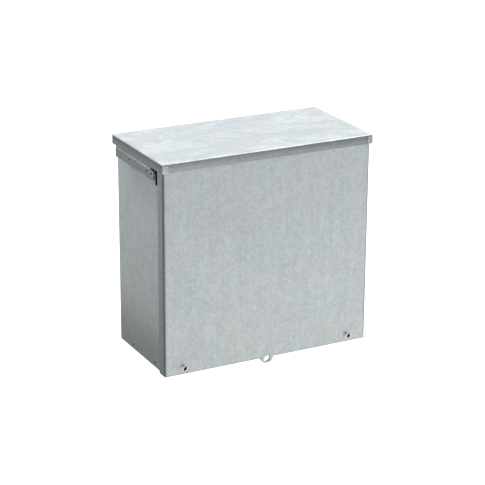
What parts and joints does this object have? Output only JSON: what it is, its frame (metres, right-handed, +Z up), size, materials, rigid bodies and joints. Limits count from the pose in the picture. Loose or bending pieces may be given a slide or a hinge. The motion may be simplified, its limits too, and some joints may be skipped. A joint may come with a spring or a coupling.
{
  "type": "electrical junction box",
  "caption": "Rain-tight sheet-steel junction box with an overhanging drip shield, a lift-off front cover held by captive screws, and a padlock ear.",
  "frame": {"origin": "centre of the four wall holes, on the wall plane that the back bosses touch", "axes": "+X to the right seen from the front, +Y into the wall, +Z up; the cover faces -Y"},
  "size_m": [0.3152, 0.1614, 0.3067],
  "materials": {
    "galvanised_steel": "hot-dip galvanised, satin, fine spangle",
    "zinc_plated_steel": "bright zinc plate",
    "green_plated_steel": "green dyed plate, satin"
  },
  "bodies": {
    "body": {"body_wrapper": "galvanised_steel", "top_panel": "galvanised_steel", "bottom_panel": "galvanised_steel", "drip_shield": "galvanised_steel", "side_rail_left": "galvanised_steel", "side_rail_right": "galvanised_steel", "padlock_staple": "galvanised_steel", "weld_nut_left": "zinc_plated_steel", "weld_nut_right": "zinc_plated_steel", "ground_screw": "green_plated_steel", "ground_washer": "zinc_plated_steel", "knockout_rings": "galvanised_steel", "knockout_slugs": "galvanised_steel"},
    "cover": {"front_cover": "galvanised_steel"},
    "retainer_left": {"screw_retainer_left": "zinc_plated_steel"},
    "retainer_right": {"screw_retainer_right": "zinc_plated_steel"},
    "screw_left": {"cover_screw_left": "zinc_plated_steel"},
    "screw_right": {"cover_screw_right": "zinc_plated_steel"}
  },
  "joints": [
    {"name": "cover_swing", "type": "hinge", "parent": "body", "child": "cover", "pos_m": [0, -0.1562, 0.1355], "axis": [-1, 0, 0], "range_deg": [0, 20]},
    {"name": "screw_travel_left", "type": "slide", "parent": "cover", "child": "retainer_left", "axis": [0, -1, 0], "range_m": [0, 0.0062]},
    {"name": "screw_turn_left", "type": "hinge", "parent": "retainer_left", "child": "screw_left", "pos_m": [-0.1265, -0.1562, -0.1404], "axis": [0, -1, 0], "range_deg": [0, 2812]},
    {"name": "screw_travel_right", "type": "slide", "parent": "cover", "child": "retainer_right", "axis": [0, -1, 0], "range_m": [0, 0.0062]},
    {"name": "screw_turn_right", "type": "hinge", "parent": "retainer_right", "child": "screw_right", "pos_m": [0.1265, -0.1562, -0.1404], "axis": [0, -1, 0], "range_deg": [0, 2812]}
  ],
  "couplings": [
    {"joint": "screw_turn_left", "follows": "screw_travel_left", "rad_per_m": 7913.3},
    {"joint": "screw_turn_right", "follows": "screw_travel_right", "rad_per_m": 7913.3}
  ]
}
